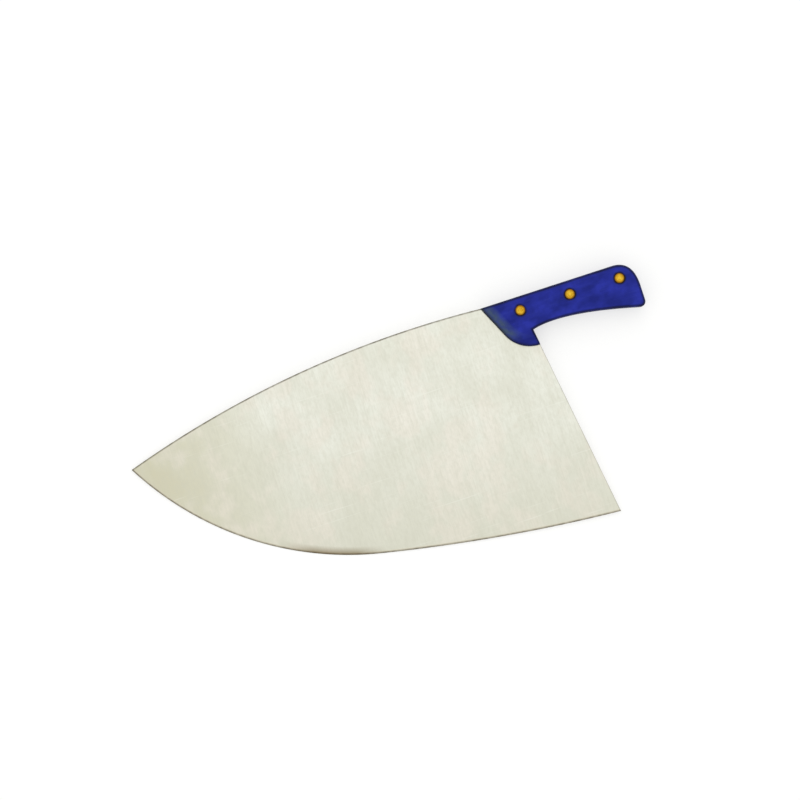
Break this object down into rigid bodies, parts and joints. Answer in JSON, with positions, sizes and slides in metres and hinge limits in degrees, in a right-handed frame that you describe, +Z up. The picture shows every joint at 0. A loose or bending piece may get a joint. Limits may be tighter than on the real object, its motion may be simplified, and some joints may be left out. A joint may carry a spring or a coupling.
{
  "type": "fish knife",
  "caption": "Broad pointed fish knife: deep taper-ground steel blade with a full tang between blue handle scales, held by flush brass rivets.",
  "frame": {"origin": "under the middle of the knife's box, at the outer face of the lower (right) handle scale, with the knife lying flat on its right side", "axes": "+X along the spine to the butt, +Y from the cutting edge to the spine, +Z up, out of the left side of the blade"},
  "size_m": [0.4254, 0.1874, 0.018],
  "materials": {
    "blade_steel": "satin ground",
    "handle_scale": "satin, lightly worn",
    "rivet_brass": "ground flush"
  },
  "bodies": {
    "root": {"blade": "blade_steel", "left_handle_scale": "handle_scale", "right_handle_scale": "handle_scale", "front_rivet_sleeve": "rivet_brass", "front_rivet_pin": "rivet_brass", "middle_rivet_sleeve": "rivet_brass", "middle_rivet_pin": "rivet_brass", "rear_rivet_sleeve": "rivet_brass", "rear_rivet_pin": "rivet_brass"}
  },
  "joints": []
}
